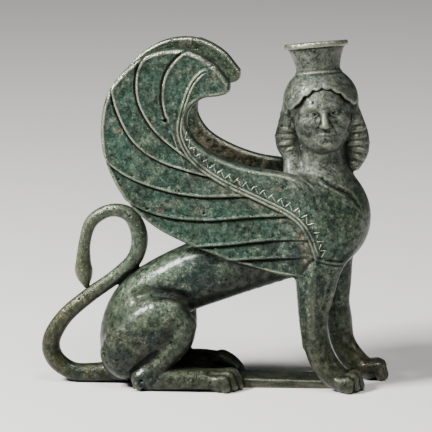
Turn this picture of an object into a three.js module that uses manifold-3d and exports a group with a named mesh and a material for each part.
// A seated sphinx, solid-cast in bronze as one piece with the plinth bar between its feet.
// Millimetres. +Z is up, +X is the way the body faces, and -Y is the sphinx's own right side.
import * as THREE from 'three';
import { ParametricGeometry } from 'three/addons/geometries/ParametricGeometry.js';
import { mergeVertices } from 'three/addons/utils/BufferGeometryUtils.js';
import Module from 'manifold-3d';

const wasm = await Module();
wasm.setup();

// ---- driving dimensions ----
const FEET = { foreSpread: 10, hindSpread: 10.6, sink: 0.6 };   // from the middle plane, and into the ground
const BAR = { from: -3, to: 43, halfWidth: 6.6, thickBack: 3.4, thickFront: 2.7, corner: 0.5 };
const WING = { inner: 9.2, thickness: 2.4, step: 0.34, ridge: 0.55 };
const TAIL_SIDES = 10;
const HEAD = { at: [37.2, 0.5, 92.5], yaw: 12, leanBack: 10, leanSide: -3 };     // degrees
const CAP = { radii: [13, 13, 14], back: 1.4, up: 3 };
const FACE = { width: 18.5, length: 23.5, depth: 20 };
const POLOS = { base: 14, offset: 0.9, waist: 7.7, rim: 10.8, height: 10.8, lip: 1.2,
  dish: 1.0 };
const BRONZE = { color: 0x4d6a5f, roughness: 0.5, metalness: 0.55 };

// ---- closed meshes to solids ----
function signedVolume(vertices, triangles) {
  const corner = i => new THREE.Vector3().fromArray(vertices, 3 * i);
  let six = 0;
  for (let i = 0; i < triangles.length; i += 3) {
    const [a, b, c] = [0, 1, 2].map(k => corner(triangles[i + k]));
    six += a.dot(b.cross(c));
  }
  return six / 6;
}

// A closed three.js geometry as a manifold, with its pinched triangles dropped and its faces out.
function solid(geometry) {
  geometry.deleteAttribute('normal');
  geometry.deleteAttribute('uv');
  const merged = mergeVertices(geometry, 1e-4);
  const vertices = merged.attributes.position.array;
  const index = merged.index.array;
  const triangles = [];
  for (let i = 0; i < index.length; i += 3) {
    const [a, b, c] = index.slice(i, i + 3);
    if (a !== b && b !== c && c !== a) triangles.push(a, b, c);
  }
  if (signedVolume(vertices, triangles) < 0) triangles.reverse();
  const triVerts = new Uint32Array(triangles);
  return new wasm.Manifold(new wasm.Mesh({ numProp: 3, vertProperties: vertices, triVerts }));
}

const joined = solids => solids.reduce((whole, next) => whole.add(next));

function ellipsoid(at, radii, sides = 14, rings = 9) {
  const ball = new THREE.SphereGeometry(1, sides, rings);
  return solid(ball.scale(...radii).translate(...at));
}

// A round-ended limb through stations [x, y, z, half width, half depth]. Between stations the
// path and the half sizes follow a smooth curve; the width lies across the body, along Y.
function limb(stations, sides = 12, ringsPerSpan = 2) {
  const capRings = 2;
  const path = new THREE.CatmullRomCurve3(stations.map(s => new THREE.Vector3(...s)));
  const size = new THREE.CatmullRomCurve3(stations.map(s => new THREE.Vector3(s[3], s[4], 0)));
  const spans = ringsPerSpan * (stations.length - 1);
  const ring = (t, stretch, shrink) => {
    const along = path.getTangent(t);
    const across = new THREE.Vector3(0, 1, 0).addScaledVector(along, -along.y).normalize();
    const deep = new THREE.Vector3().crossVectors(along, across);
    const half = size.getPoint(t);
    const centre = path.getPoint(t).addScaledVector(along, stretch * Math.min(half.x, half.y));
    return { centre, across: across.multiplyScalar(half.x * shrink),
             deep: deep.multiplyScalar(half.y * shrink) };
  };
  const rings = [];
  for (let k = 0; k < capRings; k++) {
    const turn = (Math.PI / 2) * (k / capRings);
    rings.push(ring(0, -Math.cos(turn), Math.sin(turn)));
  }
  for (let k = 0; k <= spans; k++) rings.push(ring(k / spans, 0, 1));
  for (let k = capRings - 1; k >= 0; k--) {
    const turn = (Math.PI / 2) * (k / capRings);
    rings.push(ring(1, Math.cos(turn), Math.sin(turn)));
  }
  const surface = (u, v, target) => {
    const { centre, across, deep } = rings[Math.round(v * (rings.length - 1))];
    const turn = 2 * Math.PI * (u === 1 ? 0 : u);
    target.copy(centre).addScaledVector(across, Math.cos(turn)).addScaledVector(deep, Math.sin(turn));
  };
  return solid(new ParametricGeometry(surface, sides, rings.length - 1));
}

// ---- body: rump, loins, belly and the swelling chest ----
function body() {
  const trunk = limb([
    [-29.5, 0, 9, 9, 11.4], [-28.8, 0, 18, 10, 12.2], [-24.5, 0, 27, 10, 12],
    [-15, 0, 34.5, 9.5, 11], [0, 0, 41, 9.3, 11.8], [13, 0, 47.5, 9.8, 14],
    [26, 0, 54.5, 11, 16.5], [36, 0, 59, 11.5, 15],
  ], 14, 1);
  const chest = ellipsoid([36.6, 0, 59], [16.4, 13, 17.6], 20, 12);
  const neck = limb([[35.5, 0, 66, 8.5, 9.5], [36.5, 0.3, 76, 7.4, 7.4], [37, 0.6, 85, 6.8, 7]], 14, 1);
  return joined([trunk, chest, neck]);
}

// ---- legs: side is -1 for the sphinx's right and +1 for its left ----
function paw(x, y, z, size, toes = 4) {
  const pads = [];
  for (let k = 0; k < toes; k++) {
    const spread = (k - (toes - 1) / 2) / ((toes - 1) / 2);
    const reach = size * (0.55 - 0.3 * spread * spread);
    const at = [x + reach, y + spread * size * 0.72, z];
    pads.push(ellipsoid(at, [size * 0.62, size * 0.34, size * 0.72], 8, 5));
  }
  return joined(pads);
}

// Both forelegs are straight. The right one slopes forward from the wrist; the left one stands
// a step ahead and upright, with its paw set flat in front of it.
function foreleg(side) {
  const y = side * FEET.foreSpread;
  const low = 4.1 - FEET.sink;
  const slopingLeg = [
    [35.6, y * 0.9, 44, 5, 8], [34.8, y * 0.95, 35, 4.6, 6.6], [33.4, y, 25, 4.1, 4.6],
    [33.7, y, 16, 4.1, 4.4], [36.8, y, 9.6, 4.3, 4.7], [41.5, y, 5.2, 4.6, 4.6], [45, y, low, 4.4, 4.1],
  ];
  const uprightLeg = [
    [38.5, y * 0.9, 44, 5, 7], [39.2, y * 0.95, 35, 4.6, 5.6], [40.2, y, 25, 4.1, 4.5],
    [40.3, y, 16, 4.1, 4.5], [41.2, y, 10, 4.2, 4.4], [45, y, 5, 4.5, 4.3], [51.5, y, low, 4.4, 4.1],
  ];
  const leg = limb(side < 0 ? slopingLeg : uprightLeg, 12, 1);
  const shoulder = ellipsoid([34.5, side * 7.5, 57], [14, 7.2, 18.5], 16, 10);
  return joined([leg, shoulder, paw(side < 0 ? 44.8 : 51.8, y, 3, 4.6)]);
}

// The left knee is drawn back and its hock forward, so that its shank stands steeper.
function hindleg(side) {
  const y = side * FEET.hindSpread;
  const knee = side > 0 ? -3.4 : 0;
  const hock = side > 0 ? 3 : 0;
  const low = 3.9 - FEET.sink;
  const thigh = limb([
    [-33, y * 0.72, 9.5, 6, 8], [-27 + knee / 2, y * 0.78, 15.5, 6.8, 11],
    [-18.5 + knee, y * 0.82, 21.5, 6.4, 11.3], [-12.5 + knee, y * 0.9, 24.8, 5, 8],
  ], 14, 2);
  const shank = limb([
    [-10.8 + knee, y, 23.5, 4.4, 5.6], [-12 + knee / 2, y, 17.5, 4.2, 5.2],
    [-16 + hock / 2, y, 12, 4, 4.8], [-20.5 + hock, y, 7.6, 3.9, 4.4], [-25 + hock, y, 4, 4, 4],
  ], 12, 1);
  const foot = limb([
    [-25 + hock, y, low, 4, 4], [-14, y, low, 4.1, 4.2], [-3, y, low, 4.7, 4.3],
    [1, y, low - 0.4, 4.6, 4],
  ], 12, 1);
  return joined([thigh, shank, foot, paw(1, y, 2.9, 4.7)]);
}

// ---- plinth bar between the hind feet and the forefeet ----
function plinthBar() {
  const side = new THREE.Shape();
  side.moveTo(BAR.from, -FEET.sink).lineTo(BAR.to, -FEET.sink);
  side.lineTo(BAR.to, BAR.thickFront).lineTo(BAR.from, BAR.thickBack).closePath();
  const depth = 2 * (BAR.halfWidth - BAR.corner);
  const bar = new THREE.ExtrudeGeometry(side, {
    depth, bevelThickness: BAR.corner, bevelSize: BAR.corner, bevelOffset: -BAR.corner, bevelSegments: 1,
  });
  return solid(bar.translate(0, 0, -depth / 2).rotateX(Math.PI / 2));
}

// ---- tail: out of the rump, back up the haunch, over in a loop, and down to rest on itself ----
function tail() {
  return limb([
    [-31, 0, 4.2, 3.6, 3.8], [-43.5, 0, 3.2, 3.2, 3.2], [-51.5, 0, 3.8, 3.1, 3.1],
    [-57.3, 0, 8.2, 3.2, 3.2], [-58.3, 0, 14.6, 3.1, 3.1], [-53.6, 0, 22.6, 2.8, 2.8],
    [-45, 0, 30.1, 2.6, 2.6], [-35.3, 0, 37, 2.5, 2.5], [-28.4, 0, 43.6, 2.7, 2.7],
    [-26.6, 0, 51.5, 2.9, 2.9], [-29.7, 0, 58.6, 2.6, 2.6], [-36.5, 0, 60.1, 2.2, 2.2],
    [-43, 0, 56.2, 2.2, 2.2], [-45.6, 0, 49, 2.1, 2.1], [-46.3, 0, 41, 2.8, 2.8],
    [-46, 0, 37.5, 2.9, 2.9], [-45.6, 0, 33.8, 1.3, 1.3],
  ], TAIL_SIDES, 2);
}

// ---- wings: a sickle plate whose long feathers lap like shingles, each a step above the last ----
// Outlines are drawn in the wing's own plane: across is X, up is Z.
const curve = points => new THREE.SplineCurve(points.map(p => new THREE.Vector2(...p)));

const BACK_EDGE = curve([
  [33, 39], [20, 41.2], [4, 46], [-9, 51.4], [-19.5, 57], [-28.2, 65.2], [-34.3, 76],
  [-36.8, 88.5], [-34.6, 101.5], [-27.4, 111.4], [-17.5, 117.2], [-7, 118], [2, 113.8], [8, 106.8],
]);
const FRONT_EDGE = curve([
  [8, 106.8], [7.4, 103.6], [4, 102.2], [-1.6, 101.3], [-6, 97.6], [-7, 92], [-3.4, 85.9],
  [4.3, 81.1], [14, 77.7], [26, 75.8], [33, 72.5], [36.5, 66], [38, 57], [37, 47],
]);
const COVERT_BORDER = curve([
  [36, 44], [34, 52], [28.3, 60.3], [17.9, 65.8], [3.7, 72.6], [-6.3, 80.4], [-10.4, 89],
  [-9.4, 97], [-6.2, 106], [-1.8, 111.2], [3, 113], [8, 120],
]);
// Outer edges of the lapped feathers, from the lowest; each runs from the covert out past the back edge.
const FEATHER_EDGES = [
  [[37, 47], [20, 46.1], [1, 45.2]],
  [[37, 53.4], [22, 52.8], [5, 50.9], [-12, 49.6]],
  [[31, 61.6], [15, 60.7], [-3.5, 59.4], [-18.8, 61.4], [-31, 67.2]],
  [[19, 68.4], [-3.2, 67.7], [-20.2, 71.1], [-32, 77], [-39, 85.5]],
  [[3, 74.2], [-14.9, 79], [-25.6, 86.5], [-31.4, 98.2], [-33, 109]],
  [[-4, 78.5], [-16.3, 88.3], [-22.2, 96.8], [-24.1, 104.4], [-22.8, 112.5], [-17, 120.5]],
  [[-10.4, 88], [-14, 95.2], [-15.2, 102.7], [-13.6, 110.2], [-8, 116.8], [0, 120]],
].map(curve);

const EDGE_STEPS = 13;

// A flat region of the wing plane, thickened outwards from the wing's inner face.
function slab(outline, side, thickness) {
  const plate = new THREE.ExtrudeGeometry(new THREE.Shape(outline), { depth: thickness, bevelEnabled: false });
  plate.rotateX(Math.PI / 2).scale(1, -side, 1).translate(0, side * WING.inner, 0);
  return solid(plate);
}

// All of the plane that lies on the leading side of an edge line, out past the wing.
function leadingSide(edge) {
  const line = edge.getPoints(EDGE_STEPS);
  const beyond = { left: -60, right: 70, top: 130 };
  const around = [[beyond.left, line.at(-1).y], [beyond.left, beyond.top], [beyond.right, beyond.top],
    [beyond.right, line[0].y]];
  return [...line, ...around.map(p => new THREE.Vector2(...p))];
}

function wing(side) {
  const outline = [...BACK_EDGE.getPoints(32), ...FRONT_EDGE.getPoints(24).slice(1)];
  const lines = [...FEATHER_EDGES, COVERT_BORDER];
  const layers = lines.map((line, k) => {
    const thickness = WING.thickness + WING.step * (k + 1);
    return slab(outline, side, thickness).intersect(slab(leadingSide(line), side, thickness));
  });
  const bedding = 0.13;
  const top = side * (WING.inner + WING.thickness + WING.step * lines.length - bedding);
  const border = COVERT_BORDER.getPoints(EDGE_STEPS).slice(0, -2);
  const ridge = limb(border.map(p => [p.x, top, p.y, WING.ridge, WING.ridge]), 6, 1);
  return joined([slab(outline, side, WING.thickness), ...layers, ridge]);
}

// ---- head: turned to the sphinx's right, in a wig of hair under a flared crown ----
// Built about its own centre, looking along -Y, then leaned, turned and set on the neck.
function crown() {
  const profile = [[0, 0], [POLOS.waist + 0.3, 0], [POLOS.waist, 2.2], [POLOS.waist + 0.2, 4.4]];
  const steps = 4;
  for (let k = 1; k <= steps; k++) {
    const rise = k / steps;
    const flare = POLOS.waist + (POLOS.rim - POLOS.waist) * rise ** 1.7;
    profile.push([flare, 4.4 + (POLOS.height - POLOS.lip - 4.4) * rise]);
  }
  profile.push([POLOS.rim, POLOS.height], [POLOS.rim - 1, POLOS.height], [0, POLOS.height - POLOS.dish]);
  const turned = new THREE.LatheGeometry(profile.map(p => new THREE.Vector2(...p)), 22);
  return solid(turned.rotateX(Math.PI / 2).translate(POLOS.offset, CAP.back, POLOS.base));
}

function head() {
  const cap = ellipsoid([0, CAP.back, CAP.up], CAP.radii, 18, 12);
  const face = ellipsoid([0, -3.2, -2.4], [FACE.width / 2, FACE.depth / 2, FACE.length / 2], 14, 10);
  const nose = limb([[0, -12.6, 1, 1, 1], [0, -14, -4, 1.5, 1.3]], 8);
  const jaw = ellipsoid([0, -4.6, -9], [6.2, 6, 5], 10, 7);
  const hairBack = limb([[0, 7, 0, 10.5, 5.5], [0, 7.4, -9, 11, 5], [0, 7, -17, 9.5, 4]]
    .map(([x, y, z, wide, deep]) => [y, x, z, wide, deep]), 12);
  const lock = side => limb([
    [side * 10.4, 2.5, 6, 4, 3.4], [side * 11.6, 4, -3, 5, 3.8], [side * 12.6, 4.4, -10, 5.2, 4],
    [side * 11.8, 3.4, -15, 4, 3.4],
  ], 10, 2);
  const whole = joined([cap, face, nose, jaw, crown(), hairBack.rotate([0, 0, 90]), lock(-1), lock(1)]);
  return whole.rotate([-HEAD.leanBack, HEAD.leanSide, HEAD.yaw]).translate(HEAD.at);
}

// ---- the whole casting, its feet and bar cut off flat on the ground ----
function ground() {
  const block = new THREE.BoxGeometry(200, 100, 20);
  return solid(block.translate(0, 0, -10));
}

const casting = joined([
  body(), foreleg(-1), foreleg(1), hindleg(-1), hindleg(1), plinthBar(), tail(), wing(-1), wing(1), head(),
]).subtract(ground());

function toGeometry(manifold) {
  const { vertProperties, triVerts } = manifold.getMesh();
  const geometry = new THREE.BufferGeometry();
  geometry.setAttribute('position', new THREE.BufferAttribute(vertProperties, 3));
  geometry.setIndex(new THREE.BufferAttribute(triVerts, 1));
  geometry.computeVertexNormals();
  return geometry;
}

const sphinx = new THREE.Mesh(toGeometry(casting), new THREE.MeshStandardMaterial(BRONZE));
sphinx.name = 'sphinx';

// The origin is the middle of the footprint, on the ground.
sphinx.geometry.computeBoundingBox();
const box = sphinx.geometry.boundingBox;
sphinx.geometry.translate(-(box.min.x + box.max.x) / 2, -(box.min.y + box.max.y) / 2, -box.min.z);

const statue = new THREE.Group();
statue.add(sphinx);
export default statue;
